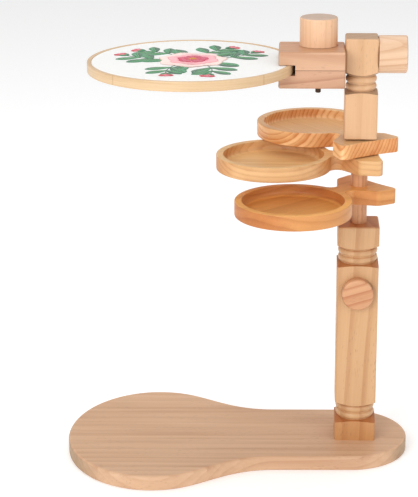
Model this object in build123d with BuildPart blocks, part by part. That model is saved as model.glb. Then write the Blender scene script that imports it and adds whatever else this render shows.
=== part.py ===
# Embroidery hoop on a table stand: base board, telescoping post, three swinging
# trays, a tilting clamp and a round hoop with its cloth.
# Millimetres, +Z up. The origin is on the post axis at the underside of the base,
# and the clamp and the hoop reach out along -X.
import os
from math import atan2, cos, hypot, radians, sin, sqrt, tan

from build123d import *

os.makedirs("parts", exist_ok=True)

# --- clearances ---
running_gap = 0.05  # radial, a shaft, pin or ring in its bore
rub_gap = 0.3  # between wooden faces that turn or slide on each other
cloth_gap = 0.5  # between the two hoop rings, where the cloth passes

# --- base board ---
base_thickness = 16.0
neck_half_width = 66.5
neck_end_x = -8.0  # centre of the round end under the post
waist_x = -89.0  # where the neck begins to widen
lobe_centre_x = -225.0
lobe_half_length = 98.5
lobe_half_width = 118.5
lobe_join_angle = 65.0  # on the ellipse, where the waist curve leaves it
base_turn = 1.8  # the board's long axis, turned about the post
base_top_round = 3.0
base_bottom_round = 1.0

# --- posts ---
lower_post_width = 45.0
lower_post_length = 250.0
end_block = 21.0  # square block above and below the turned bands
band_length = 25.0
upper_post_width = 35.0
upper_square_length = 48.5
head_block = 35.0
post_edge_round = 2.5
block_edge_round = 1.0
head_edge_round = 2.5

# --- turned bands ---
bead_inset = 1.0  # crown of a bead below the square face
bead_height = 7.4
bead_depth = 1.9  # from crown to groove
groove_width = 0.6
shoulder_low = 2.0  # height of the lower shoulder, from face to corner
shoulder_high = 4.4

# --- spindle ---
spindle_radius = 9.0
spindle_length = 300.0
spindle_in_upper_post = 40.0
spindle_shown = 96.0  # between the two posts
spindle_lift = 75.0  # upward travel
spindle_drop = 25.0  # downward travel, until the lower tray meets the post
spindle_edge = 1.0
bore_spare = 6.0  # below the spindle at its lowest

# --- rubber rings ---
ring_height = 3.0
spindle_ring_depth = 2.0
tray_ring_depth = 1.9
spindle_ring_rise = 12.0  # above the spindle's foot

# --- trays ---
tray_radius = 62.0
tray_rim_x = 30.5  # from the spindle to the near side of the round end
tray_thickness = 16.0
dish_radius = 54.0
dish_depth = 11.0
dish_fillet = 5.0
hub_end_x = 20.0  # from the spindle to the middle of the hollow end
hub_end_hollow = 4.0
hub_end_half = 38.5
hub_shoulder_x = 2.0  # from the spindle towards the dish
hub_shoulder_half = 34.0
hub_waist_x = 21.3  # where the flank would meet the neck
hub_neck_half = 10.8
hub_corner_round = 6.0
hub_shoulder_round = 8.0
hub_waist_round = 7.0
tray_edge_round = 1.0
tray_gap = 1.5  # between the upper tray and the pieces above and below it
lower_tray_top = 307.5
tray_angles = {"upper_tray": 57.0, "middle_tray": -2.0, "lower_tray": -40.0}

# --- washer under the upper post ---
post_washer_radius = 14.0
post_washer_thickness = 1.0

# --- clamp ---
jaw_length = 69.6
jaw_depth = 60.0
jaw_thickness = 19.0
jaw_shift_y = -10.0  # the block stands forward of the post axis
jaw_seam = 0.5
jaw_round = 2.0
notch_length = 17.5
notch_height = 11.2
tilt_drop = 19.5  # tilt axis below the top of the head block
clamp_bolt_x = -45.6
jaw_opening = 3.0

# --- guide pins ---
guide_pin_radius = 3.0
guide_pin_in_jaw = 10.0
guide_pin_reach = 12.0
guide_pin_x = -60.0
guide_pin_spread = 36.0

# --- knobs, bolts, inserts and washers ---
knob_radius = 20.0
knob_height = 30.0
knob_round = 2.0
lock_knob_radius = 17.5
lock_knob_height = 10.0
lock_knob_round = 2.5
lock_height = 192.0
bolt_radius = 3.0
bolt_in_knob = 18.0
lock_bolt_in_knob = 7.0
bolt_point = 0.8
insert_radius = 4.5
insert_length = 12.0
clearance_radius = 3.4
washer_radius = 9.0
washer_thickness = 1.2
washer_proud = 0.25
clamp_bolt_reach = 12.5  # tip below the lower jaw

# --- base screws ---
screw_radius = 2.5
screw_head_radius = 5.0
screw_length = 45.0
screw_sink = 0.6
screw_offset = 11.0

# --- hoop ---
hoop_radius = 110.0
hoop_height = 10.4
outer_ring_wall = 4.4
inner_ring_wall = 5.0
cloth_thickness = 0.6
hoop_edge_round = 0.8
hoop_split = 3.0
closure_angle = 28.0
bracket_length = 8.0
bracket_reach = 10.0
bracket_height = 8.4
bracket_set_back = 1.0
hoop_screw_radius = 2.0
hoop_screw_length = 31.0
hoop_screw_drop = 5.0  # screw axis outside the ring
thumb_radius = 4.5
thumb_height = 7.0
nut_across = 7.0
nut_height = 3.2

# --- levels and places that follow ---
lower_post_top = base_thickness + lower_post_length
upper_post_bottom = lower_post_top + spindle_shown
upper_post_length = upper_square_length + band_length + head_block
head_top = upper_post_bottom + upper_post_length
tilt_z = head_top - tilt_drop
spindle_top = upper_post_bottom + spindle_in_upper_post
spindle_foot = spindle_top - spindle_length
tray_reach = tray_rim_x + tray_radius  # spindle to the centre of the dish
upper_tray_top = upper_post_bottom - tray_gap
middle_tray_top = upper_tray_top - tray_thickness - tray_gap
tray_tops = {
    "upper_tray": upper_tray_top,
    "middle_tray": middle_tray_top,
    "lower_tray": lower_tray_top,
}
head_face = upper_post_width / 2
jaw_right = -head_face - rub_gap
jaw_left = jaw_right - jaw_length
jaw_middle = (jaw_left + jaw_right) / 2
upper_jaw_bottom = tilt_z - jaw_thickness / 2
upper_jaw_top = upper_jaw_bottom + jaw_thickness
lower_jaw_top = upper_jaw_bottom - jaw_seam
lower_jaw_bottom = lower_jaw_top - jaw_thickness
seam_z = (upper_jaw_bottom + lower_jaw_top) / 2
notch_floor = seam_z - notch_height / 2
notch_ceiling = seam_z + notch_height / 2
notch_wall = jaw_left + notch_length
hoop_bottom = seam_z - hoop_height / 2
hoop_top = hoop_bottom + hoop_height
hoop_x = notch_wall - rub_gap - hoop_radius
hoop_y = jaw_shift_y
outer_ring_inside = hoop_radius - outer_ring_wall
inner_ring_radius = outer_ring_inside - cloth_gap
post_front = -lower_post_width / 2


def cylinder_along(plane, radius, length, mode=Mode.ADD):
    """Add or cut a round bar that starts on the plane and runs along its normal."""
    with BuildSketch(plane) as section:
        Circle(radius)
    extrude(section.sketch, amount=length, mode=mode)


def disc_with_hole(plane, radius, hole, thickness):
    """Add a washer, sleeve or ring that starts on the plane."""
    with BuildSketch(plane) as section:
        Circle(radius)
        Circle(hole, mode=Mode.SUBTRACT)
    extrude(section.sketch, amount=thickness)


def cut_turned_band(bottom, width):
    """Turn two beads between square shoulders, from bottom up over one band length."""
    face = width / 2
    corner = face * sqrt(2)
    crown = face - bead_inset
    root = crown - bead_depth
    top = bottom + band_length
    low_slope = shoulder_low / (corner - face)
    high_slope = shoulder_high / (corner - face)
    low_root = bottom + low_slope * (corner - root)
    high_root = top - high_slope * (corner - root)
    bead_zone = 2 * bead_height + groove_width
    first = (low_root + high_root - bead_zone) / 2
    second = first + bead_height + groove_width
    with BuildSketch(Plane.XZ) as waste:
        with BuildLine():
            Line((corner, bottom), (root, low_root))
            Line((root, low_root), (root, first))
            ThreePointArc((root, first), (crown, first + bead_height / 2), (root, first + bead_height))
            Line((root, first + bead_height), (root, second))
            ThreePointArc((root, second), (crown, second + bead_height / 2), (root, second + bead_height))
            Line((root, second + bead_height), (root, high_root))
            Line((root, high_root), (corner, top))
            Line((corner, top), (corner, bottom))
        make_face()
    revolve(waste.sketch, axis=Axis.Z, mode=Mode.SUBTRACT)


# --- base board ---
lobe_join = radians(lobe_join_angle)
join_slope = (lobe_half_length * sin(lobe_join), -lobe_half_width * cos(lobe_join))
join_point = (
    lobe_centre_x + lobe_half_length * cos(lobe_join),
    lobe_half_width * sin(lobe_join),
)
screw_spots = [(screw_offset, screw_offset), (-screw_offset, -screw_offset)]

with BuildPart() as base_board:
    with BuildSketch(Plane.XY.rotated((0, 0, base_turn))):
        with BuildLine():
            EllipticalCenterArc(
                (lobe_centre_x, 0),
                lobe_half_length,
                lobe_half_width,
                lobe_join_angle,
                arc_size=180 - lobe_join_angle,
            )
            Spline(join_point, (waist_x, neck_half_width), tangents=(join_slope, (1, 0)))
            Line((waist_x, neck_half_width), (neck_end_x, neck_half_width))
            TangentArc(
                (neck_end_x, neck_half_width), (neck_end_x + neck_half_width, 0), tangent=(1, 0)
            )
            mirror(about=Plane.XZ)
        make_face()
    extrude(amount=base_thickness)
    fillet(base_board.faces().sort_by(Axis.Z)[-1].edges(), radius=base_top_round)
    fillet(base_board.faces().sort_by(Axis.Z)[0].edges(), radius=base_bottom_round)
    with Locations(*[Location((x, y, 0), (180, 0, 0)) for x, y in screw_spots]):
        CounterSinkHole(
            screw_radius + running_gap,
            screw_head_radius + screw_sink + 2 * running_gap,
            counter_sink_angle=90,
        )
base_board.part.label = "base_board"
export_step(base_board.part, "parts/base_board.step")

with BuildPart() as base_screws:
    for x, y in screw_spots:
        with BuildSketch(Plane.XY.offset(screw_sink)):
            with Locations((x, y)):
                Circle(screw_head_radius)
        extrude(amount=screw_head_radius - screw_radius, taper=45)
        with BuildSketch(Plane.XY.offset(screw_sink)):
            with Locations((x, y)):
                Circle(screw_radius)
        extrude(amount=screw_length)
base_screws.part.label = "base_screws"
export_step(base_screws.part, "parts/base_screws.step")

# --- lower post ---
spindle_bore = spindle_radius + running_gap
spindle_bore_depth = lower_post_top - spindle_foot + spindle_drop + bore_spare

with BuildPart() as lower_post:
    with BuildSketch(Plane.XY.offset(base_thickness)):
        RectangleRounded(lower_post_width, lower_post_width, post_edge_round)
    extrude(amount=lower_post_length)
    chamfer(lower_post.faces().sort_by(Axis.Z)[-1].edges(), length=block_edge_round)
    cut_turned_band(base_thickness + end_block, lower_post_width)
    cut_turned_band(lower_post_top - end_block - band_length, lower_post_width)
    cylinder_along(Plane.XY.offset(lower_post_top), spindle_bore, -spindle_bore_depth, Mode.SUBTRACT)
    lock_plane = Plane((0, post_front, lock_height), x_dir=(1, 0, 0), z_dir=(0, -1, 0))
    cylinder_along(lock_plane, insert_radius, -insert_length, Mode.SUBTRACT)
    cylinder_along(lock_plane, clearance_radius, post_front, Mode.SUBTRACT)
    for x, y in screw_spots:
        screw_plane = Plane((x, y, base_thickness))
        cylinder_along(
            screw_plane,
            screw_radius + running_gap,
            screw_length + screw_sink - base_thickness + 1,
            Mode.SUBTRACT,
        )
lower_post.part.label = "lower_post"
export_step(lower_post.part, "parts/lower_post.step")

# --- height lock: insert in the post, bolt and knob ---
with BuildPart() as height_lock_insert:
    insert_plane = lock_plane.offset(-insert_length)
    disc_with_hole(insert_plane, insert_radius, bolt_radius + running_gap, insert_length)
height_lock_insert.part.label = "height_lock_insert"
export_step(height_lock_insert.part, "parts/height_lock_insert.step")

lock_bolt_tip = -(lower_post_width / 2 - spindle_radius - 2 * running_gap)
lock_bolt_length = rub_gap + lock_bolt_in_knob - lock_bolt_tip

with BuildPart() as height_lock_bolt:
    cylinder_along(lock_plane.offset(lock_bolt_tip), bolt_radius, lock_bolt_length)
    chamfer(height_lock_bolt.edges().sort_by(Axis.Y)[-1], length=bolt_point)
height_lock_bolt.part.label = "height_lock_bolt"
export_step(height_lock_bolt.part, "parts/height_lock_bolt.step")

with BuildPart() as height_lock_knob:
    cylinder_along(lock_plane.offset(rub_gap), lock_knob_radius, lock_knob_height)
    fillet(height_lock_knob.edges().sort_by(Axis.Y)[0], radius=lock_knob_round)
    cylinder_along(lock_plane.offset(rub_gap), bolt_radius, lock_bolt_in_knob, Mode.SUBTRACT)
height_lock_knob.part.label = "height_lock_knob"
export_step(height_lock_knob.part, "parts/height_lock_knob.step")

# --- spindle and its drag ring ---
spindle_ring_bottom = spindle_foot + spindle_ring_rise
spindle_groove = spindle_radius - spindle_ring_depth

with BuildPart() as spindle:
    cylinder_along(Plane.XY.offset(spindle_foot), spindle_radius, spindle_length)
    chamfer(spindle.edges().filter_by(GeomType.CIRCLE), length=spindle_edge)
    with BuildSketch(Plane.XY.offset(spindle_ring_bottom)):
        Circle(spindle_radius + 1)
        Circle(spindle_groove, mode=Mode.SUBTRACT)
    extrude(amount=ring_height, mode=Mode.SUBTRACT)
spindle.part.label = "spindle"
export_step(spindle.part, "parts/spindle.step")

with BuildPart() as spindle_ring:
    disc_with_hole(
        Plane.XY.offset(spindle_ring_bottom + running_gap),
        spindle_radius,
        spindle_groove + running_gap,
        ring_height - 2 * running_gap,
    )
spindle_ring.part.label = "spindle_ring"
export_step(spindle_ring.part, "parts/spindle_ring.step")

# --- trays and their grip rings ---
end_corner = (-hub_end_x - hub_end_hollow, hub_end_half)
shoulder = (hub_shoulder_x, hub_shoulder_half)
waist = (hub_waist_x, hub_neck_half)
flank_angle = atan2(hub_shoulder_half - hub_neck_half, hub_waist_x - hub_shoulder_x)
neck_x = hub_waist_x + hub_waist_round * tan(flank_angle / 2) + running_gap
dish_gap = tray_reach - neck_x
blend_radius = (dish_gap**2 + hub_neck_half**2 - tray_radius**2) / (2 * (tray_radius - hub_neck_half))
blend_centre_y = hub_neck_half + blend_radius
blend_share = tray_radius / hypot(dish_gap, blend_centre_y)
tangent_point = (tray_reach - blend_share * dish_gap, blend_share * blend_centre_y)
hub_rounds = (hub_corner_round, hub_shoulder_round, hub_waist_round)
tray_groove = spindle_bore + tray_ring_depth
groove_rise = (tray_thickness - ring_height) / 2

for name, angle in tray_angles.items():
    turn = radians(angle)
    top = tray_tops[name]
    bottom = top - tray_thickness
    tray_plane = Plane((0, 0, bottom), x_dir=(-cos(turn), sin(turn), 0), z_dir=(0, 0, 1))
    with BuildPart() as tray:
        with BuildSketch(tray_plane):
            with BuildLine():
                TangentArc((-hub_end_x, 0), end_corner, tangent=(0, 1))
                Polyline(end_corner, shoulder, waist, (neck_x, hub_neck_half))
                TangentArc((neck_x, hub_neck_half), tangent_point, tangent=(1, 0))
                Line(tangent_point, (tangent_point[0], 0))
                mirror(about=Plane.XZ)
            make_face()
            for (x, half), corner_round in zip((end_corner, shoulder, waist), hub_rounds):
                corners = vertices().filter_by(lambda spot: hypot(spot.X - x, abs(spot.Y) - half) < 0.01)
                fillet(corners, radius=corner_round)
            with Locations((tray_reach, 0)):
                Circle(tray_radius)
        extrude(amount=tray_thickness)
        fillet(tray.faces().sort_by(Axis.Z)[-1].edges(), radius=tray_edge_round)
        fillet(tray.faces().sort_by(Axis.Z)[0].edges(), radius=tray_edge_round)
        with BuildSketch(tray_plane.offset(tray_thickness)):
            with Locations((tray_reach, 0)):
                Circle(dish_radius)
        extrude(amount=-dish_depth, mode=Mode.SUBTRACT)
        dish_floor = tray.faces().filter_by_position(
            Axis.Z, top - dish_depth - 0.1, top - dish_depth + 0.1
        )
        fillet(dish_floor.edges(), radius=dish_fillet)
        top_arcs = tray.edges().filter_by(GeomType.CIRCLE).group_by(Axis.Z)[-1]
        fillet(top_arcs.filter_by(lambda arc: abs(arc.radius - dish_radius) < 0.1), radius=tray_edge_round)
        cylinder_along(tray_plane, spindle_bore, tray_thickness, Mode.SUBTRACT)
        with BuildSketch(tray_plane.offset(groove_rise)):
            Circle(tray_groove)
        extrude(amount=ring_height, mode=Mode.SUBTRACT)
    tray.part.label = name
    export_step(tray.part, f"parts/{name}.step")
    with BuildPart() as tray_ring:
        disc_with_hole(
            tray_plane.offset(groove_rise + running_gap),
            tray_groove - running_gap,
            spindle_bore,
            ring_height - 2 * running_gap,
        )
    tray_ring.part.label = f"{name}_ring"
    export_step(tray_ring.part, f"parts/{name}_ring.step")

# --- upper post with its head block, and the washer under it ---
with BuildPart() as upper_post:
    with BuildSketch(Plane.XY.offset(upper_post_bottom)):
        RectangleRounded(upper_post_width, upper_post_width, post_edge_round)
    extrude(amount=upper_post_length)
    fillet(upper_post.faces().sort_by(Axis.Z)[-1].edges(), radius=head_edge_round)
    chamfer(upper_post.faces().sort_by(Axis.Z)[0].edges(), length=block_edge_round)
    cut_turned_band(upper_post_bottom + upper_square_length, upper_post_width)
    cylinder_along(
        Plane.XY.offset(upper_post_bottom), spindle_bore, spindle_in_upper_post + running_gap, Mode.SUBTRACT
    )
    tilt_plane = Plane((-head_face, 0, tilt_z), x_dir=(0, 1, 0), z_dir=(1, 0, 0))
    cylinder_along(tilt_plane, clearance_radius, upper_post_width, Mode.SUBTRACT)
upper_post.part.label = "upper_post"
export_step(upper_post.part, "parts/upper_post.step")

with BuildPart() as post_washer:
    disc_with_hole(
        Plane.XY.offset(upper_post_bottom - post_washer_thickness),
        post_washer_radius,
        spindle_bore,
        post_washer_thickness,
    )
post_washer.part.label = "post_washer"
export_step(post_washer.part, "parts/post_washer.step")

# --- tilt knob, washer and bolt, and the insert in the upper jaw ---
knob_plane = tilt_plane.offset(upper_post_width + rub_gap)
jaw_end_plane = Plane((jaw_right, 0, tilt_z), x_dir=(0, 1, 0), z_dir=(-1, 0, 0))
tilt_bolt_length = insert_length + upper_post_width + 2 * rub_gap + bolt_in_knob


def round_knob(plane, outer_edge):
    """Wooden knob with a washer recess and a bolt socket in its inner face."""
    cylinder_along(plane, knob_radius, knob_height)
    fillet(outer_edge(edges()), radius=knob_round)
    cylinder_along(
        plane, washer_radius + running_gap, washer_thickness - washer_proud, Mode.SUBTRACT
    )
    cylinder_along(plane, bolt_radius, bolt_in_knob, Mode.SUBTRACT)


with BuildPart() as tilt_knob:
    round_knob(knob_plane, lambda found: found.sort_by(Axis.X)[-1])
tilt_knob.part.label = "tilt_knob"
export_step(tilt_knob.part, "parts/tilt_knob.step")

with BuildPart() as tilt_washer:
    disc_with_hole(
        knob_plane.offset(-washer_proud), washer_radius, bolt_radius + running_gap, washer_thickness
    )
tilt_washer.part.label = "tilt_washer"
export_step(tilt_washer.part, "parts/tilt_washer.step")

with BuildPart() as tilt_bolt:
    cylinder_along(knob_plane.offset(bolt_in_knob), bolt_radius, -tilt_bolt_length)
    chamfer(tilt_bolt.edges().sort_by(Axis.X)[0], length=bolt_point)
tilt_bolt.part.label = "tilt_bolt"
export_step(tilt_bolt.part, "parts/tilt_bolt.step")

with BuildPart() as tilt_insert:
    disc_with_hole(jaw_end_plane, insert_radius, bolt_radius + running_gap, insert_length)
tilt_insert.part.label = "tilt_insert"
export_step(tilt_insert.part, "parts/tilt_insert.step")

# --- clamp jaws ---
pin_spots = [(guide_pin_x, jaw_shift_y + side * guide_pin_spread / 2) for side in (-1, 1)]
notch_middle = (jaw_left + notch_wall) / 2


def jaw_block(bottom, notch_bottom, notch_top):
    """One jaw, rounded on its outside edges, with its half of the notch cut away."""
    with BuildSketch(Plane.XY.offset(bottom)) as outline:
        with Locations((jaw_middle, jaw_shift_y)):
            Rectangle(jaw_length, jaw_depth)
    extrude(outline.sketch, amount=jaw_thickness)
    fillet(edges().filter_by(Axis.Z), radius=jaw_round)
    with BuildSketch(Plane.XY.offset(notch_bottom)) as notch:
        with Locations((notch_middle, jaw_shift_y)):
            Rectangle(notch_length, jaw_depth)
    extrude(notch.sketch, amount=notch_top - notch_bottom, mode=Mode.SUBTRACT)


with BuildPart() as upper_jaw:
    jaw_block(upper_jaw_bottom, upper_jaw_bottom, notch_ceiling)
    fillet(upper_jaw.faces().sort_by(Axis.Z)[-1].edges(), radius=jaw_round)
    cylinder_along(jaw_end_plane, insert_radius, insert_length, Mode.SUBTRACT)
    clamp_plane = Plane((clamp_bolt_x, 0, upper_jaw_top))
    cylinder_along(clamp_plane, clearance_radius, -jaw_thickness, Mode.SUBTRACT)
    for x, y in pin_spots:
        cylinder_along(
            Plane((x, y, upper_jaw_bottom)),
            guide_pin_radius + running_gap,
            guide_pin_reach + rub_gap,
            Mode.SUBTRACT,
        )
upper_jaw.part.label = "upper_jaw"
export_step(upper_jaw.part, "parts/upper_jaw.step")

with BuildPart() as lower_jaw:
    jaw_block(lower_jaw_bottom, notch_floor, lower_jaw_top)
    fillet(lower_jaw.faces().sort_by(Axis.Z)[0].edges(), radius=jaw_round)
    lower_clamp_plane = Plane((clamp_bolt_x, 0, lower_jaw_top))
    cylinder_along(lower_clamp_plane, clearance_radius, -jaw_thickness, Mode.SUBTRACT)
    cylinder_along(lower_clamp_plane, insert_radius, -insert_length, Mode.SUBTRACT)
    for x, y in pin_spots:
        cylinder_along(
            Plane((x, y, lower_jaw_top)), guide_pin_radius, -guide_pin_in_jaw, Mode.SUBTRACT
        )
lower_jaw.part.label = "lower_jaw"
export_step(lower_jaw.part, "parts/lower_jaw.step")

with BuildPart() as jaw_guide_pins:
    for x, y in pin_spots:
        cylinder_along(
            Plane((x, y, lower_jaw_top - guide_pin_in_jaw)),
            guide_pin_radius,
            guide_pin_in_jaw + jaw_seam + guide_pin_reach,
        )
jaw_guide_pins.part.label = "jaw_guide_pins"
export_step(jaw_guide_pins.part, "parts/jaw_guide_pins.step")

# --- clamp knob, washer and bolt, and the insert in the lower jaw ---
clamp_knob_plane = clamp_plane.offset(rub_gap)
clamp_bolt_bottom = lower_jaw_bottom - clamp_bolt_reach
clamp_bolt_length = upper_jaw_top + rub_gap + bolt_in_knob - clamp_bolt_bottom

with BuildPart() as clamp_knob:
    round_knob(clamp_knob_plane, lambda found: found.sort_by(Axis.Z)[-1])
clamp_knob.part.label = "clamp_knob"
export_step(clamp_knob.part, "parts/clamp_knob.step")

with BuildPart() as clamp_washer:
    disc_with_hole(
        clamp_knob_plane.offset(-washer_proud), washer_radius, bolt_radius + running_gap, washer_thickness
    )
clamp_washer.part.label = "clamp_washer"
export_step(clamp_washer.part, "parts/clamp_washer.step")

with BuildPart() as clamp_bolt:
    cylinder_along(Plane((clamp_bolt_x, 0, clamp_bolt_bottom)), bolt_radius, clamp_bolt_length)
    chamfer(clamp_bolt.edges().sort_by(Axis.Z)[0], length=bolt_point)
clamp_bolt.part.label = "clamp_bolt"
export_step(clamp_bolt.part, "parts/clamp_bolt.step")

with BuildPart() as clamp_insert:
    disc_with_hole(
        lower_clamp_plane.offset(-insert_length), insert_radius, bolt_radius + running_gap, insert_length
    )
clamp_insert.part.label = "clamp_insert"
export_step(clamp_insert.part, "parts/clamp_insert.step")

# --- hoop rings and cloth ---
hoop_plane = Plane(
    (hoop_x, hoop_y, hoop_bottom),
    x_dir=(cos(radians(closure_angle)), sin(radians(closure_angle)), 0),
    z_dir=(0, 0, 1),
)
cloth_bottom = hoop_height - cloth_thickness

with BuildPart() as hoop_outer_ring:
    disc_with_hole(hoop_plane, hoop_radius, outer_ring_inside, hoop_height)
    fillet(hoop_outer_ring.edges(), radius=hoop_edge_round)
    with BuildSketch(hoop_plane):
        with Locations((hoop_radius, 0)):
            Rectangle(4 * outer_ring_wall, hoop_split)
    extrude(amount=hoop_height, mode=Mode.SUBTRACT)
hoop_outer_ring.part.label = "hoop_outer_ring"
export_step(hoop_outer_ring.part, "parts/hoop_outer_ring.step")

with BuildPart() as hoop_inner_ring:
    disc_with_hole(
        hoop_plane, inner_ring_radius, inner_ring_radius - inner_ring_wall, cloth_bottom
    )
    fillet(hoop_inner_ring.edges().group_by(Axis.Z)[0], radius=hoop_edge_round)
hoop_inner_ring.part.label = "hoop_inner_ring"
export_step(hoop_inner_ring.part, "parts/hoop_inner_ring.step")

with BuildPart() as hoop_cloth:
    cylinder_along(hoop_plane.offset(cloth_bottom), inner_ring_radius, cloth_thickness)
hoop_cloth.part.label = "hoop_cloth"
export_step(hoop_cloth.part, "parts/hoop_cloth.step")

# --- hoop closure: two brackets, screw and nut ---
bracket_bottom = (hoop_height - bracket_height) / 2
bracket_far = hoop_split / 2 + bracket_set_back + bracket_length
screw_axis_x = hoop_radius + hoop_screw_drop
screw_run_plane = Plane(
    hoop_plane.from_local_coords((screw_axis_x, 0, hoop_height / 2)),
    x_dir=(0, 0, 1),
    z_dir=hoop_plane.y_dir,
)

with BuildPart() as hoop_brackets:
    with BuildSketch(hoop_plane.offset(bracket_bottom)):
        for side in (-1, 1):
            with Locations((hoop_radius + bracket_reach / 2, side * (bracket_far - bracket_length / 2))):
                Rectangle(bracket_reach, bracket_length)
        Circle(hoop_radius, mode=Mode.SUBTRACT)
    extrude(amount=bracket_height)
    fillet(hoop_brackets.edges().filter_by(Axis.Z).group_by(SortBy.DISTANCE)[-1], radius=1.0)
    cylinder_along(
        screw_run_plane.offset(-bracket_far),
        hoop_screw_radius + running_gap,
        2 * bracket_far,
        Mode.SUBTRACT,
    )
hoop_brackets.part.label = "hoop_brackets"
export_step(hoop_brackets.part, "parts/hoop_brackets.step")

with BuildPart() as hoop_screw:
    cylinder_along(screw_run_plane.offset(-bracket_far - rub_gap - thumb_height), thumb_radius, thumb_height)
    chamfer(hoop_screw.edges(), length=0.6)
    cylinder_along(screw_run_plane.offset(-bracket_far - rub_gap), hoop_screw_radius, hoop_screw_length)
hoop_screw.part.label = "hoop_screw"
export_step(hoop_screw.part, "parts/hoop_screw.step")

with BuildPart() as hoop_nut:
    with BuildSketch(screw_run_plane.offset(bracket_far)):
        RegularPolygon(nut_across / 2, 6, major_radius=False)
        Circle(hoop_screw_radius + running_gap, mode=Mode.SUBTRACT)
    extrude(amount=nut_height)
hoop_nut.part.label = "hoop_nut"
export_step(hoop_nut.part, "parts/hoop_nut.step")
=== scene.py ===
# Embroidery hoop on a table stand: wood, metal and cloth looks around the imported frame.
import random
from math import cos, pi, radians, sin

import bmesh
import bpy
from mathutils import Matrix, Vector


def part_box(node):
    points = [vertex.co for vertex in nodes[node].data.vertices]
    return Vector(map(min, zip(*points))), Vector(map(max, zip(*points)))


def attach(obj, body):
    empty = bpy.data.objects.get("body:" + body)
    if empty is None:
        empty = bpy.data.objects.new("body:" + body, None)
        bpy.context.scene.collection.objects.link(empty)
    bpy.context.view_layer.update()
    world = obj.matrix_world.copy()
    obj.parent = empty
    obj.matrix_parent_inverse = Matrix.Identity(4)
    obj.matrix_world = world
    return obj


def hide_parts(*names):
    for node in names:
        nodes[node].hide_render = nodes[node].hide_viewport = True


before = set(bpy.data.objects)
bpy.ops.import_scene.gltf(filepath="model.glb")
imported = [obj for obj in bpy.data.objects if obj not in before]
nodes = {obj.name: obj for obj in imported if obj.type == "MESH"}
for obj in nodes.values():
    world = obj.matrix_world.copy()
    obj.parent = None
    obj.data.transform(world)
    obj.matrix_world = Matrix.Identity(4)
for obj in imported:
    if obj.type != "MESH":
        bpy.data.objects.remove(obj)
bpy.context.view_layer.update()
scene = bpy.context.scene
print("frame loaded:", len(nodes), "nodes")

# camera
camera = {
    "place": (-0.0659, -1.7820, 0.8122),
    "yaw": 3.123,
    "pitch": 17.968,
    "roll": -0.418,
    "lens": 123.47,
}

cameraData = bpy.data.cameras.new("camera")
cameraData.lens = camera["lens"]
cameraData.sensor_width = 36
cameraData.clip_end = 50
cameraObject = bpy.data.objects.new("camera", cameraData)
cameraObject.matrix_world = (
    Matrix.Translation(camera["place"])
    @ Matrix.Rotation(radians(camera["yaw"]), 4, "Z")
    @ Matrix.Rotation(radians(90 - camera["pitch"]), 4, "X")
    @ Matrix.Rotation(radians(camera["roll"]), 4, "Z")
)
scene.collection.objects.link(cameraObject)
scene.camera = cameraObject
scene.view_settings.view_transform = "Standard"
print("camera placed")


# shader helpers
class Value:
    # one output socket, which joins in sums as a number does
    def __init__(self, finish, socket):
        self.finish = finish
        self.socket = socket

    def join(self, operation, first, second=0.0):
        return self.finish.node("ShaderNodeMath", {"operation": operation}, {0: first, 1: second})

    def __add__(self, other):
        return self.join("ADD", self, other)

    def __radd__(self, other):
        return self.join("ADD", other, self)

    def __sub__(self, other):
        return self.join("SUBTRACT", self, other)

    def __rsub__(self, other):
        return self.join("SUBTRACT", other, self)

    def __mul__(self, other):
        return self.join("MULTIPLY", self, other)

    def __rmul__(self, other):
        return self.join("MULTIPLY", other, self)

    def __truediv__(self, other):
        return self.join("DIVIDE", self, other)

    def __abs__(self):
        return self.join("ABSOLUTE", self)

    def fraction(self):
        return self.join("FRACT", self)

    def whole(self):
        return self.join("FLOOR", self)

    def wave(self):
        return self.join("SINE", self)

    def turnFrom(self, across):
        # the angle round the axis, from a point's two coordinates
        return self.join("ARCTAN2", self, across)

    def rise(self, low, high):
        # 0 below low, 1 above high, smooth between
        inputs = {0: self, 1: low, 2: high, 3: 0.0, 4: 1.0}
        return self.finish.node("ShaderNodeMapRange", {"interpolation_type": "SMOOTHSTEP"}, inputs)

    def output(self, name):
        return Value(self.finish, self.socket.node.outputs[name])


class Finish:
    def __init__(self, name):
        self.material = bpy.data.materials.new(name)
        self.material.use_nodes = True
        self.tree = self.material.node_tree
        self.tree.nodes.clear()

    def node(self, kind, settings=None, inputs=None, output=0):
        made = self.tree.nodes.new(kind)
        for key, setting in (settings or {}).items():
            if key == "stops":
                while len(made.color_ramp.elements) < len(setting):
                    made.color_ramp.elements.new(0.5)
                for element, (place, colour) in zip(made.color_ramp.elements, setting):
                    element.position = place
                    element.color = colour
            else:
                setattr(made, key, setting)
        for key, given in (inputs or {}).items():
            if isinstance(given, Value):
                self.tree.links.new(given.socket, made.inputs[key])
            else:
                made.inputs[key].default_value = given
        return Value(self, made.outputs[output]) if made.outputs else None

    def mix(self, share, under, over, blend="MIX"):
        settings = {"data_type": "RGBA", "blend_type": blend, "clamp_factor": True}
        return self.node("ShaderNodeMix", settings, {0: share, 6: under, 7: over}, 2)

    def scaled(self, vector, scale):
        return self.node("ShaderNodeVectorMath", {"operation": "MULTIPLY"}, {0: vector, 1: scale})

    def noise(self, vector, scale, detail=2.0, roughness=0.5):
        placed = self.scaled(vector, scale)
        inputs = {"Vector": placed, "Scale": 1.0, "Detail": detail, "Roughness": roughness}
        return self.node("ShaderNodeTexNoise", {}, inputs)

    def surface(self, colour, roughness, height=None, depth=0.0002, strength=1.0, **fixed):
        inputs = {"Base Color": colour, "Roughness": roughness}
        inputs.update({name.replace("_", " "): value for name, value in fixed.items()})
        if height is not None:
            inputs["Normal"] = self.node(
                "ShaderNodeBump", {}, {"Strength": strength, "Distance": depth, "Height": height}
            )
        shader = self.node("ShaderNodeBsdfPrincipled", {}, inputs)
        self.node("ShaderNodeOutputMaterial", {}, {"Surface": shader})
        return self.material


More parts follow.
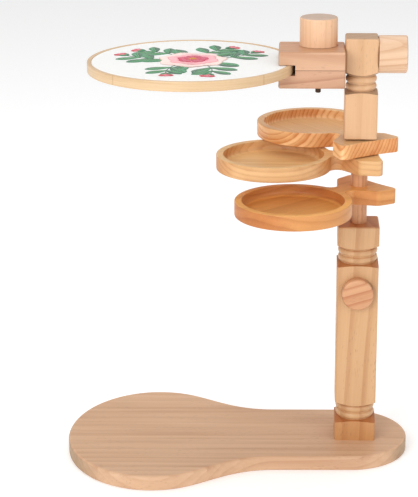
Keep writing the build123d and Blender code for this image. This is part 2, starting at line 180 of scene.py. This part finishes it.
def paint(red, green, blue):
    # display colour, 0 to 255, as a linear shader colour
    linear = [((c / 255 + 0.055) / 1.055) ** 2.4 if c > 10 else c / 3295 for c in (red, green, blue)]
    return (*linear, 1.0)


def dress(name, material):
    slots = nodes[name].data.materials
    slots.clear()
    slots.append(material)


# wood
plainBeech = {
    "light": paint(240, 203, 162),
    "dark": paint(196, 140, 92),
    "endGrainOilAndShade": paint(211, 215, 208),
    "fibre": (0, 0, 1),  # direction of the fibres
    "pith": (0.05, 0.08, 0),  # a point on the heart of the log
    "ringGap": 0.006,
    "lateWood": 0.35,
    "ringTone": 0.30,
    "streak": 0.5,
    "fine": 0.35,
    "fleck": 0.35,
    "wander": 0.003,
    "shine": 0.42,
    "topCalm": 0.0,  # how far the rings fade on faces that look up
    # painted light and shade on faces that look up: their colour is multiplied by this, below 1 for painted
    # shade, above 1 for painted light
    "paintedTopLighting": (1, 1, 1, 1),
}


def woodFinish(name, look):
    wood = Finish(name)
    turn = Vector(look["fibre"]).normalized().rotation_difference(Vector((0, 0, 1)))
    coords = wood.node("ShaderNodeTexCoord", output="Object")
    along = wood.node(
        "ShaderNodeMapping",
        {},
        {0: coords, "Location": -(turn @ Vector(look["pith"])), "Rotation": turn.to_euler()},
    )
    tone = 0.0
    gluedStrip = look.get("stripWidth")
    parts = wood.node("ShaderNodeSeparateXYZ", {}, {0: along})
    radial = wood.node(
        "ShaderNodeVectorMath", {"operation": "LENGTH"}, {0: wood.scaled(along, (1, 1, 0))}, "Value"
    )
    if gluedStrip:
        strip = (parts.output("Y") / gluedStrip + look["stripStart"]).whole()
        chance = wood.node("ShaderNodeTexWhiteNoise", {"noise_dimensions": "1D"}, {"W": strip + 0.37})
        radial = radial + chance * 0.08
        tone = (chance - 0.5) * look["stripTone"]
        shifted = wood.node("ShaderNodeCombineXYZ", {}, {0: 0.0, 1: 0.0, 2: chance * 2.0})
        along = wood.node("ShaderNodeVectorMath", {"operation": "ADD"}, {0: along, 1: shifted})
    sway = wood.noise(along, (16, 16, 2.2), 2.0)
    ripple = wood.noise(along, (90, 90, 9), 2.0)
    wavy = radial + (sway - 0.5) * 4 * look["wander"] + (ripple - 0.5) * 0.35 * look["wander"]
    phase = wavy / look["ringGap"]
    ring = phase.fraction()
    late = ring.rise(0.45, 0.94) * (1 - ring.rise(0.94, 1.0))
    ringNumber = phase.whole() + 0.5
    ringChance = wood.node("ShaderNodeTexWhiteNoise", {"noise_dimensions": "1D"}, {"W": ringNumber})
    softRing = ring * (1 - ring) * 4
    normal = wood.node("ShaderNodeTexCoord", output="Normal")
    looksUp = wood.node("ShaderNodeSeparateXYZ", {}, {0: normal}).output("Z").rise(0.6, 0.95)
    shown = 1 - looksUp * look["topCalm"]
    streak = wood.noise(along, (120, 120, 3.5), 3.0, 0.6)
    cloud = wood.noise(along, (24, 24, 5), 2.0)
    fine = wood.noise(along, (1500, 1500, 28), 3.0, 0.65)
    tone = (
        tone
        + 0.40
        + late * shown * look["lateWood"]
        + (ringChance - 0.5) * softRing * shown * look["ringTone"]
        + (streak - 0.5) * look["streak"] * 1.6
        + (cloud - 0.5) * look["streak"]
        + (fine - 0.5) * look["fine"]
    )
    middle = [(a + b) / 2 for a, b in zip(look["light"], look["dark"])]
    middle[1] *= 1.03
    colour = wood.node(
        "ShaderNodeValToRGB",
        {"stops": [(0.0, look["light"]), (0.55, middle), (1.0, look["dark"])]},
        {0: tone},
    )
    dash = wood.node(
        "ShaderNodeTexVoronoi", {}, {"Vector": wood.scaled(along, (620, 620, 95)), "Scale": 1.0}, "Distance"
    )
    presence = wood.noise(along, (60, 60, 14), 1.0).rise(0.45, 0.62)
    fleck = (1 - dash.rise(0.08, 0.30)) * presence * look["fleck"]
    colour = wood.mix(fleck, colour, [c * 0.42 for c in look["dark"][:3]] + [1.0])
    # end grain takes oil deeper, so it is darker; where the tint is cool, as on the upper post and the
    # clamp knob, it is painted shade on end faces that look up
    facing = wood.node(
        "ShaderNodeVectorMath",
        {"operation": "DOT_PRODUCT"},
        {0: normal, 1: Vector(look["fibre"]).normalized()},
        "Value",
    )
    cutEnd = abs(facing).rise(0.55, 0.95)
    colour = wood.mix(cutEnd, colour, wood.mix(1.0, colour, look["endGrainOilAndShade"], "MULTIPLY"))
    # painted top lighting: faces that look up are multiplied by the tint, giving painted shade below 1 and
    # painted light above 1
    colour = wood.mix(looksUp, colour, wood.mix(1.0, colour, look["paintedTopLighting"], "MULTIPLY"))
    if "darkFoot" in look:
        level, tint = look["darkFoot"]
        up = wood.node("ShaderNodeSeparateXYZ", {}, {0: coords}).output("Z")
        belowBand = 1 - up.rise(level - 0.002, level + 0.002)
        colour = wood.mix(belowBand, colour, wood.mix(1.0, colour, tint, "MULTIPLY"))
    height = fine * 0.7 + late * 0.25 - fleck * 0.8
    if "turnedAt" in look:
        centred = wood.node(
            "ShaderNodeMapping", {}, {0: coords, "Location": -Vector(look["turnedAt"])}
        )
        reach = wood.node(
            "ShaderNodeVectorMath", {"operation": "LENGTH"}, {0: wood.scaled(centred, (1, 1, 0))}, "Value"
        )
        height = height + (reach * 2 * pi / 0.0016).wave() * 0.22
    roughness = look["shine"] + (fine - 0.5) * 0.18 + cutEnd * 0.12
    oil = {"Specular_IOR_Level": 0.42, "Coat_Weight": 0.08, "Coat_Roughness": 0.3}
    return wood.surface(colour, roughness, height, 0.00012, 0.5, **oil)


baseBoard = {
    **plainBeech,
    "light": paint(227, 188, 155),
    "dark": paint(180, 132, 99),
    "fibre": (1, 0.03, 0),
    "pith": (0, 0.03, -0.11),
    "ringGap": 0.0075,
    "lateWood": 0.14,
    "ringTone": 0.20,
    "streak": 0.42,
    "fine": 0.25,
    "stripWidth": 0.055,
    "stripStart": 0.35,
    "stripTone": 0.26,
    "shine": 0.46,
}
dress("base_board", woodFinish("baseBoardWood", baseBoard))

lowerPost = {
    **plainBeech,
    "light": paint(217, 176, 133),
    "dark": paint(176, 122, 79),
    "endGrainOilAndShade": paint(236, 202, 172),
    "darkFoot": (0.040, paint(242, 222, 198)),  # below this height, and its tint
    "fibre": (0.05, 0, 1),
    "pith": (0.09, 0.02, 0),
    "ringGap": 0.019,
    "lateWood": 0.30,
    "ringTone": 0.25,
    "streak": 0.30,
    "fine": 0.42,
    "fleck": 0.45,
}
dress("lower_post", woodFinish("lowerPostWood", lowerPost))

upperPost = {
    **plainBeech,
    "light": paint(226, 184, 145),
    "dark": paint(190, 138, 96),
    # cool grey painted shade on the post's end faces, added to the oil darkening
    "endGrainOilAndShade": paint(214, 218, 226),
    "pith": (-0.06, 0.07, 0),
    "ringGap": 0.012,
    "lateWood": 0.16,
    "ringTone": 0.18,
    "streak": 0.25,
    "fleck": 0.3,
}
dress("upper_post", woodFinish("upperPostWood", upperPost))

spindleDowel = {
    **plainBeech,
    "light": paint(228, 174, 130),
    "dark": paint(176, 118, 80),
    "pith": (0.03, 0.01, 0),
    "ringGap": 0.004,
}
dress("spindle", woodFinish("spindleWood", spindleDowel))

clampKnob = {
    **plainBeech,
    "light": paint(240, 198, 164),
    "dark": paint(202, 150, 110),
    # cool painted shade on the knob's end-grain top face, added to the oil darkening
    "endGrainOilAndShade": paint(215, 230, 255),
    "pith": (-0.045, 0.11, 0),
    "ringGap": 0.0035,
    "lateWood": 0.18,
    "ringTone": 0.16,
    "streak": 0.22,
    "fine": 0.5,
}
dress("clamp_knob", woodFinish("clampKnobWood", clampKnob))

tiltKnob = {
    **plainBeech,
    "light": paint(230, 195, 165),
    "dark": paint(192, 144, 108),
    "fibre": (1, 0, 0.08),
    "pith": (0, 0.05, 0.40),
    "ringGap": 0.0042,
    "lateWood": 0.34,
    "ringTone": 0.3,
    "streak": 0.35,
    "fine": 0.4,
    "wander": 0.0045,
}
dress("tilt_knob", woodFinish("tiltKnobWood", tiltKnob))

lockKnob = {
    **plainBeech,
    "light": paint(218, 168, 128),
    "dark": paint(172, 104, 64),
    "fibre": (cos(radians(17)), 0, sin(radians(17))),
    "pith": (0, 0.02, 0.14),
    "ringGap": 0.0062,
    "lateWood": 0.38,
    "ringTone": 0.3,
    "streak": 0.3,
    "fine": 0.3,
    "wander": 0.0012,
}
dress("height_lock_knob", woodFinish("lockKnobWood", lockKnob))

upperJaw = {
    **plainBeech,
    "light": paint(222, 179, 149),
    "dark": paint(182, 132, 100),
    "fibre": (1, 0, -0.12),
    "pith": (0.01, 0.06, 0.41),
    "ringGap": 0.009,
    "lateWood": 0.3,
    "ringTone": 0.3,
    "streak": 0.25,
    "wander": 0.006,
    # painted shade on the jaw's top faces, which the front light reaches less than its front faces
    "paintedTopLighting": (0.90, 0.79, 0.67, 1),
}
dress("upper_jaw", woodFinish("upperJawWood", upperJaw))

lowerJaw = {
    **plainBeech,
    "light": paint(210, 165, 136),
    "dark": paint(168, 117, 89),
    "fibre": (1, 0, 0.10),
    "pith": (0, 0.03, 0.47),
    "ringGap": 0.0052,
    "lateWood": 0.42,
    "ringTone": 0.3,
    "streak": 0.3,
    "wander": 0.004,
}
dress("lower_jaw", woodFinish("lowerJawWood", lowerJaw))

trayRadius = 0.062
trayEndGrain = paint(236, 216, 196)
trays = {
    "upper_tray": {
        "light": paint(252, 208, 154),
        "dark": paint(212, 136, 74),
        "ringGap": 0.0042,
        "lateWood": 0.46,
        "ringTone": 0.75,
        "wander": 0.004,
        "streak": 0.45,
        "pithDrop": -0.05,
        "pithSide": 0.10,
        "topCalm": 0.85,
        # painted shade on the upper tray's faces that look up
        "paintedTopLighting": (0.80, 0.80, 0.80, 1),
    },
    "middle_tray": {
        "light": paint(231, 186, 134),
        "dark": paint(188, 127, 75),
        "ringGap": 0.0055,
        "lateWood": 0.26,
        "ringTone": 0.35,
        "streak": 0.4,
        "fleck": 0.25,
        "pithDrop": -0.07,
        "pithSide": 0.06,
        "topCalm": 0.5,
        # painted light on the middle tray's dish floor and rim, lifting them against the shade they get
        # from the tray above
        "paintedTopLighting": (1.18, 1.30, 1.30, 1),
    },
    "lower_tray": {
        "light": paint(221, 156, 92),
        "dark": paint(170, 97, 42),
        "ringGap": 0.010,
        "lateWood": 0.22,
        "ringTone": 0.25,
        "streak": 0.3,
        "pithDrop": 0.12,
        "pithSide": 0.01,
        # painted light on the lower tray's dish floor and rim, lifting them against the shade they get from
        # the trays above
        "paintedTopLighting": (1.30, 1.50, 1.45, 1),
    },
}
for name, own in trays.items():
    low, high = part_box(name)
    ringLow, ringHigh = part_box(f"{name}_ring")
    hub = (ringLow + ringHigh) / 2
    # the dish is the round end of the box, so its centre is one radius in from the far sides
    behind = abs(high.y) > abs(low.y)
    centreY = high.y - trayRadius if behind else low.y + trayRadius
    centre = Vector((low.x + trayRadius, centreY, high.z))
    arm = (centre - hub) * Vector((1, 1, 0))
    fibre = arm.normalized()
    side = Vector((-fibre.y, fibre.x, 0))
    pith = hub + side * own["pithSide"] - Vector((0, 0, own["pithDrop"]))
    placed = {"fibre": fibre, "pith": pith, "turnedAt": centre}
    dress(name, woodFinish(f"{name}Wood", {**plainBeech, "endGrainOilAndShade": trayEndGrain, **own, **placed}))
print("wood finished")


# metal, rubber and fibre
def turnedMetal(name, look):
    # round bar along an axis: turning marks round it, and a thread where a pitch is given
    metal = Finish(name)
    turn = Vector(look["axis"]).normalized().rotation_difference(Vector((0, 0, 1)))
    coords = metal.node("ShaderNodeTexCoord", output="Object")
    placed = metal.node(
        "ShaderNodeMapping",
        {},
        {0: coords, "Location": -(turn @ Vector(look["through"])), "Rotation": turn.to_euler()},
    )
    parts = metal.node("ShaderNodeSeparateXYZ", {}, {0: placed})
    angle = parts.output("Y").turnFrom(parts.output("X"))
    smear = metal.noise(placed, (600, 600, 600), 3.0)
    dull = metal.noise(placed, (90, 90, 90), 2.0)
    height = smear * 0.15
    shade = dull.rise(0.3, 0.75) * 0.35
    if look.get("threadPitch"):
        turns = (parts.output("Z") / look["threadPitch"] + angle / (2 * pi)).fraction()
        groove = abs(turns - 0.5) * 2
        height = height + groove
        shade = shade + (1 - groove) * 0.45
    colour = metal.mix(shade, look["colour"], [c * 0.3 for c in look["colour"][:3]] + [1.0])
    return metal.surface(
        colour, look["roughness"] + dull * 0.15, height, look.get("depth", 0.0003), 0.8, Metallic=1.0
    )


def middleOf(name):
    low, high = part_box(name)
    return (low + high) / 2


darkSteel = {"colour": paint(112, 108, 104), "roughness": 0.32, "threadPitch": 0.001, "depth": 0.0004}
zincSteel = {"colour": paint(190, 188, 182), "roughness": 0.28}
brass = {"colour": paint(214, 176, 104), "roughness": 0.26}

hoopLow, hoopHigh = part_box("hoop_outer_ring")
hoopCentre = (hoopLow + hoopHigh) / 2
screwMiddle = middleOf("hoop_brackets")
outward = ((screwMiddle - hoopCentre) * Vector((1, 1, 0))).normalized()
screwRun = Vector((-outward.y, outward.x, 0))
insertThread = {**brass, "threadPitch": 0.0015}
hoopThread = {**brass, "threadPitch": 0.0007, "through": screwMiddle}
metalParts = {  # material, its look, and the axis of the bar
    "clamp_bolt": ("clampBoltSteel", darkSteel, (0, 0, 1)),
    "tilt_bolt": ("tiltBoltSteel", darkSteel, (1, 0, 0)),
    "height_lock_bolt": ("lockBoltSteel", darkSteel, (0, 1, 0)),
    "jaw_guide_pins": ("guidePinSteel", zincSteel, (0, 0, 1)),
    "tilt_washer": ("tiltWasherSteel", zincSteel, (1, 0, 0)),
    "clamp_washer": ("clampWasherSteel", zincSteel, (0, 0, 1)),
    "base_screws": ("baseScrewZinc", zincSteel, (0, 0, 1)),
    "tilt_insert": ("tilt_insertBrass", insertThread, (1, 0, 0)),
    "clamp_insert": ("clamp_insertBrass", insertThread, (0, 0, 1)),
    "height_lock_insert": ("height_lock_insertBrass", insertThread, (0, 1, 0)),
    "hoop_brackets": ("bracketBrass", brass, screwRun),
    "hoop_nut": ("nutBrass", brass, screwRun),
    "hoop_screw": ("hoopScrewBrass", hoopThread, screwRun),
}
for name, (finishName, look, axis) in metalParts.items():
    dress(name, turnedMetal(finishName, {"through": middleOf(name), **look, "axis": axis}))


def rubberFinish():
    rubber = Finish("ringRubber")
    coords = rubber.node("ShaderNodeTexCoord", output="Object")
    dust = rubber.noise(coords, (900, 900, 900), 3.0)
    bloom = rubber.noise(coords, (70, 70, 70), 2.0)
    colour = rubber.mix(bloom.rise(0.4, 0.8) * 0.5, paint(34, 33, 33), paint(66, 64, 62))
    return rubber.surface(colour, 0.62 + dust * 0.2, dust, 0.0001, 0.5)


def fibreFinish():
    fibre = Finish("washerFibre")
    coords = fibre.node("ShaderNodeTexCoord", output="Object")
    felted = fibre.noise(coords, (1400, 1400, 500), 4.0, 0.7)
    colour = fibre.mix(felted, paint(58, 38, 26), paint(104, 76, 56))
    return fibre.surface(colour, 0.85, felted, 0.0002, 0.6)


for name in ("spindle_ring", "upper_tray_ring", "middle_tray_ring", "lower_tray_ring"):
    dress(name, rubberFinish())
dress("post_washer", fibreFinish())
print("metal and rubber finished")

# hoop rings: bamboo strips bent round, so the fibres follow the ring
hoopRings = {
    "light": paint(222, 192, 152),
    "dark": paint(184, 144, 100),
    "shine": 0.34,
    "jointEvery": 0.17,
}


def bambooFinish(name, look, phase):
    bamboo = Finish(name)
    coords = bamboo.node("ShaderNodeTexCoord", output="Object")
    placed = bamboo.node("ShaderNodeMapping", {}, {0: coords, "Location": -hoopCentre})
    parts = bamboo.node("ShaderNodeSeparateXYZ", {}, {0: placed})
    angle = parts.output("Y").turnFrom(parts.output("X"))
    reach = bamboo.node(
        "ShaderNodeVectorMath", {"operation": "LENGTH"}, {0: bamboo.scaled(placed, (1, 1, 0))}, "Value"
    )
    run = angle * (hoopHigh.x - hoopLow.x) / 2
    strip = bamboo.node("ShaderNodeCombineXYZ", {}, {0: reach, 1: parts.output("Z"), 2: run + phase})
    fibres = bamboo.noise(strip, (2400, 2400, 22), 3.0, 0.6)
    bands = bamboo.noise(strip, (500, 500, 6), 2.0)
    cloud = bamboo.noise(strip, (40, 40, 14), 2.0)
    joint = ((run + phase) / look["jointEvery"]).fraction()
    node = (1 - (abs(joint - 0.5) / 0.006).rise(0.3, 1.0)) * 0.4
    tone = 0.35 + (fibres - 0.5) * 0.9 + (bands - 0.5) * 0.8 + (cloud - 0.5) * 0.4 + node
    stops = [(0.0, look["light"]), (1.0, look["dark"])]
    colour = bamboo.node("ShaderNodeValToRGB", {"stops": stops}, {0: tone})
    roughness = look["shine"] + fibres * 0.12
    height = fibres * 0.6 - node
    return bamboo.surface(colour, roughness, height, 0.00015, 0.5, Coat_Weight=0.15, Coat_Roughness=0.25)


dress("hoop_outer_ring", bambooFinish("outerRingBamboo", hoopRings, 0.0))
dress("hoop_inner_ring", bambooFinish("innerRingBamboo", hoopRings, 0.06))
print("hoop rings finished")

# cloth, stretched over the inner ring and pinched between the two
cloth = {
    "rise": 0.00035,  # of the top over the inner ring
    "thick": 0.0003,
    "gap": 0.0001,
    "turnDown": 0.0012,  # radius over the ring's edge
    "threadPitch": 0.00065,
    "around": 180,
}

innerLow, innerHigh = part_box("hoop_inner_ring")
ringTop = innerHigh.z
clothTop = ringTop + cloth["rise"]
clothReach = (innerHigh.x - innerLow.x) / 2 + cloth["thick"] + cloth["gap"]


def makeCloth():
    mesh = bmesh.new()
    flatReach = clothReach - cloth["turnDown"]
    line = [(flatReach * k / 36, clothTop) for k in range(37)]
    line += [
        (flatReach + cloth["turnDown"] * sin(a), clothTop - cloth["turnDown"] * (1 - cos(a)))
        for a in (radians(30), radians(60), radians(90))
    ]
    skirtTop = clothTop - cloth["turnDown"]
    line += [(clothReach, skirtTop - (skirtTop - innerLow.z) * k / 6) for k in range(1, 7)]
    points = [mesh.verts.new((hoopCentre.x + reach, hoopCentre.y, height)) for reach, height in line]
    for first, second in zip(points, points[1:]):
        mesh.edges.new((first, second))
    bmesh.ops.spin(
        mesh,
        geom=mesh.verts[:] + mesh.edges[:],
        cent=hoopCentre,
        axis=(0, 0, 1),
        angle=2 * pi,
        steps=cloth["around"],
        use_merge=True,
    )
    bmesh.ops.remove_doubles(mesh, verts=mesh.verts, dist=0.00001)
    bmesh.ops.recalc_face_normals(mesh, faces=mesh.faces)
    return mesh


def asObject(name, mesh, smooth=True):
    data = bpy.data.meshes.new(name)
    for face in mesh.faces:
        face.smooth = smooth
    mesh.to_mesh(data)
    mesh.free()
    made = bpy.data.objects.new(name, data)
    scene.collection.objects.link(made)
    return made


clothObject = asObject("embroideryCloth", makeCloth())
if clothObject.data.polygons[0].normal.z < 0:
    clothObject.data.flip_normals()
solid = clothObject.modifiers.new("thickness", "SOLIDIFY")
solid.thickness = cloth["thick"]
solid.offset = -1


def clothFinish():
    weave = Finish("evenweaveCotton")
    coords = weave.node("ShaderNodeTexCoord", output="Object")
    placed = weave.node("ShaderNodeMapping", {}, {0: coords, "Location": -hoopCentre})
    parts = weave.node("ShaderNodeSeparateXYZ", {}, {0: placed})
    uneven = weave.noise(placed, (120, 120, 120), 2.0)
    across = parts.output("X") / cloth["threadPitch"] + (uneven - 0.5) * 0.5
    up = parts.output("Y") / cloth["threadPitch"] + (uneven - 0.5) * 0.5
    over = ((across.whole() + up.whole()) / 2).fraction() * 2
    warp = abs((across * pi).wave())
    weft = abs((up * pi).wave())
    height = warp * over + weft * (1 - over) + warp * weft * 0.5
    slub = weave.noise(placed, (30, 900, 30), 2.0) + weave.noise(placed, (900, 30, 30), 2.0)
    shade = (1 - height.rise(0.1, 0.9)) * 0.10 + (slub - 1.0) * 0.10
    colour = weave.mix(shade, paint(248, 248, 246), paint(214, 212, 208))
    height = height + slub * 0.3
    return weave.surface(colour, 0.86, height, 0.0002, 0.6, Sheen_Weight=0.25, Sheen_Roughness=0.5)


clothObject.data.materials.append(clothFinish())
print("cloth made")

# embroidery: single stitches, sewn petal by petal and leaf by leaf
threads = {
    "deepRose": paint(206, 58, 96),
    "rose": paint(236, 118, 140),
    "blush": paint(248, 178, 184),
    "cream": paint(252, 222, 214),
    "red": paint(204, 34, 58),
    "deepGreen": paint(16, 96, 62),
    "green": paint(34, 138, 84),
    "paleGreen": paint(110, 176, 110),
    "gold": paint(226, 172, 66),
}
stitch = {"width": 0.00115, "height": 0.0008, "spacing": 0.00086}
threadNames = list(threads)
chance = random.Random(11)


def threadFinish(name, colour):
    thread = Finish(f"{name}Thread")
    coords = thread.node("ShaderNodeTexCoord", output="Object")
    twist = thread.noise(coords, (2200, 2200, 2200), 2.0)
    dye = thread.noise(coords, (260, 260, 260), 2.0)
    shaded = thread.mix((dye - 0.35) * 0.7, colour, [c * 0.55 for c in colour[:3]] + [1.0])
    return thread.surface(shaded, 0.42 + twist * 0.2, twist, 0.0002, 0.5, Sheen_Weight=0.3)


def sew(mesh, start, end, thread, layer=0.0, width=1.0):
    # one stitch: a slim thread from start to end, its middle raised off the cloth
    run = end - start
    length = run.length
    if length < 0.0003:
        return
    turn = Matrix.Rotation(run.to_2d().angle_signed(Vector((1, 0))), 4, "Z")
    size = Matrix.Diagonal((length / 2 + 0.0002, stitch["width"] * width / 2, stitch["height"] / 2, 1))
    place = hoopCentre.to_2d() + (start + end).to_2d() / 2
    height = clothTop + stitch["height"] * 0.2 + layer
    matrix = Matrix.Translation((place.x, place.y, height)) @ turn @ size @ Matrix.Rotation(pi / 2, 4, "Y")
    made = bmesh.ops.create_uvsphere(mesh, u_segments=6, v_segments=4, radius=1, matrix=matrix)
    for face in {face for vert in made["verts"] for face in vert.link_faces}:
        face.material_index = threadNames.index(thread)


def flat(angle, length=1.0):
    return Vector((cos(angle), sin(angle), 0)) * length


def sewPetal(mesh, root, angle, length, spread, shades, layer):
    # long and short stitches that fan out from the root
    rows = int(2 * spread * length * 0.8 / stitch["spacing"])
    for row in range(rows):
        lean = -spread + 2 * spread * (row + 0.5) / rows
        ripple = 1 - 0.05 * abs(sin(3 * lean / spread))
        edge = length * (0.80 + 0.20 * cos(lean / spread * pi / 2) ** 0.6) * ripple
        changes = [(k + chance.uniform(-0.22, 0.22)) / len(shades) for k in range(1, len(shades))]
        cuts = [0.16, *changes, 1.0]
        for k, thread in enumerate(shades):
            start = root + flat(angle + lean * (0.55 + 0.45 * cuts[k]), edge * max(cuts[k] - 0.05, 0))
            end = root + flat(angle + lean, edge * cuts[k + 1])
            sew(mesh, start, end, thread, layer + 0.00005 * k)


def sewLeaf(mesh, root, angle, length, width, shades, layer=0.0):
    # satin stitch from the midrib out to both edges
    rows = int(length / stitch["spacing"])
    rib = flat(angle)
    for row in range(rows):
        share = (row + 0.5) / rows
        half = width / 2 * sin(pi * share**0.85) ** 0.9
        foot = root + rib * length * share
        for side, thread in ((1, shades[0]), (-1, shades[1])):
            tip = foot + flat(angle + side * radians(52), half * 1.25 + 0.0006)
            sew(mesh, foot, tip, thread, layer)
    sew(mesh, root, root + rib * length * 0.9, shades[2], layer + 0.0003, 0.7)


def sewStem(mesh, root, angle, length, bend, thread):
    # stem stitch along an arc, and the points and headings along it for what grows there
    steps = int(length / 0.0032)
    here, heading, spots = root.copy(), angle, []
    for step in range(steps):
        ahead = here + flat(heading, length / steps)
        sew(mesh, here, ahead + flat(heading, 0.001), thread, 0.0, 1.1)
        spots.append((ahead.copy(), heading))
        here, heading = ahead, heading + bend / steps
    return spots


def sewBud(mesh, root, angle, length):
    for lean, shade in ((-0.32, "red"), (0.32, "red"), (0.0, "deepRose")):
        sewPetal(mesh, root, angle + lean, length, 0.34, (shade, "rose" if lean == 0 else shade), 0.0001)
    for lean in (-0.6, 0.6):
        sewLeaf(mesh, root, angle + lean, length * 0.55, 0.0035, ("green", "deepGreen", "green"), 0.0003)


motif = {
    "bloomAt": Vector((0.002, -0.002, 0)),
    "sprigs": [  # heading in degrees, stem length, bend, leaf pairs, bud length
        (18, 0.050, 0.7, 2, 0.016),
        (72, 0.046, -0.6, 2, 0.017),
        (128, 0.050, 0.6, 2, 0.016),
        (176, 0.052, -0.7, 2, 0.017),
        (238, 0.048, 0.7, 2, 0.016),
        (302, 0.050, -0.8, 2, 0.017),
    ],
    "rounds": [  # petals, reach, spread, first heading, threads from root to edge
        (7, 0.039, 0.50, 10, ("rose", "blush", "cream")),
        (6, 0.029, 0.54, 40, ("deepRose", "rose", "blush")),
        (5, 0.018, 0.60, 15, ("red", "deepRose")),
    ],
    "sprigStart": 0.024,
    "leafLength": (0.026, 0.031),
    "leafShades": ("green", "deepGreen", "paleGreen"),
    "collar": {"leaves": 5, "first": 40, "start": 0.024, "length": 0.034, "width": 0.017},
    "knots": 14,
}


def sewApart(whole, sewPart, *details):
    # one leaf, petal or stem in its own small mesh, which is then added to the whole
    part = bmesh.new()
    spots = sewPart(part, *details)
    data = bpy.data.meshes.new("sewnPart")
    part.to_mesh(data)
    part.free()
    whole.from_mesh(data)
    bpy.data.meshes.remove(data)
    return spots


def makeEmbroidery():
    mesh = bmesh.new()
    heart, leafShades, collar = motif["bloomAt"], motif["leafShades"], motif["collar"]
    for degrees, length, bend, pairs, bud in motif["sprigs"]:
        root = heart + flat(radians(degrees), motif["sprigStart"])
        spots = sewApart(mesh, sewStem, root, radians(degrees), length, bend, "deepGreen")
        for pair in range(pairs):
            spot, heading = spots[int(len(spots) * (0.34 + 0.34 * pair))]
            for side in (1, -1):
                size = chance.uniform(*motif["leafLength"]) * (1 - 0.12 * pair)
                leafHeading = heading + side * radians(50)
                sewApart(mesh, sewLeaf, spot, leafHeading, size, size * 0.46, leafShades, 0.0001)
        sewApart(mesh, sewBud, spots[-1][0], spots[-1][1], bud)
    for leaf in range(collar["leaves"]):
        angle = radians(collar["first"] + 360 / collar["leaves"] * leaf)
        root = heart + flat(angle, collar["start"])
        sewApart(mesh, sewLeaf, root, angle, collar["length"], collar["width"], leafShades, 0.0002)
    for level, (petals, reach, spread, first, shades) in enumerate(motif["rounds"]):
        layer = 0.00045 + 0.0004 * level
        for petal in range(petals):
            angle = radians(first + 360 * petal / petals)
            length = reach * chance.uniform(0.94, 1.04)
            sewApart(mesh, sewPetal, heart, angle, length, spread, shades, layer)
    for knot in range(motif["knots"]):
        spot = heart + flat(knot * 2.4, 0.0009 * knot**0.5)
        sewApart(mesh, sew, spot, spot + flat(knot, 0.0006), "gold", 0.0018, 1.6)
    return mesh


stitches = asObject("embroidery", makeEmbroidery())
for name, colour in threads.items():
    stitches.data.materials.append(threadFinish(name, colour))
print("embroidery sewn:", len(stitches.data.polygons), "faces")

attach(clothObject, "hoop_inside")
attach(stitches, "hoop_inside")
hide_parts("hoop_cloth")
skirt = clothTop - innerLow.z
cutArea = pi * clothReach**2 + 2 * pi * clothReach * skirt
cutAcross = 2 * (cutArea / pi) ** 0.5

# floor and light
studio = {
    "floor": paint(250, 250, 250),
    "floorReach": 14,
    "floorGlow": 0.16,
    "fill": 0.66,
    "lamps": [  # place, size, power
        ((-1.3, -2.3, 1.35), 1.5, 36),
        ((1.6, -1.7, 1.1), 1.3, 11),
        ((-0.2, 0.6, 2.4), 1.6, 15),
    ],
    "aim": (-0.1, 0, 0.25),
}


def floorFinish():
    plain = Finish("studioFloor")
    coords = plain.node("ShaderNodeTexCoord", output="Object")
    mottle = plain.noise(coords, (4, 4, 4), 2.0)
    colour = plain.mix(mottle * 0.05, studio["floor"], paint(240, 240, 240))
    return plain.surface(colour, 0.9, Emission_Color=(1, 1, 1, 1), Emission_Strength=studio["floorGlow"])


floorMesh = bmesh.new()
justUnder = Matrix.Translation((0, 0, -0.0003))
floorReach = studio["floorReach"]
bmesh.ops.create_circle(floorMesh, cap_ends=True, segments=64, radius=floorReach, matrix=justUnder)
floor = asObject("floor", floorMesh, False)
floor.data.materials.append(floorFinish())

world = bpy.data.worlds.new("studio")
world.use_nodes = True
world.node_tree.nodes["Background"].inputs["Color"].default_value = (1, 1, 1, 1)
world.node_tree.nodes["Background"].inputs["Strength"].default_value = studio["fill"]
scene.world = world
for index, (place, size, power) in enumerate(studio["lamps"]):
    lampData = bpy.data.lights.new(f"softbox{index}", "AREA")
    lampData.size = size
    lampData.energy = power
    lamp = bpy.data.objects.new(f"softbox{index}", lampData)
    lamp.location = place
    lamp.rotation_euler = (Vector(studio["aim"]) - Vector(place)).to_track_quat("-Z", "Y").to_euler()
    scene.collection.objects.link(lamp)
print("floor and lights placed")
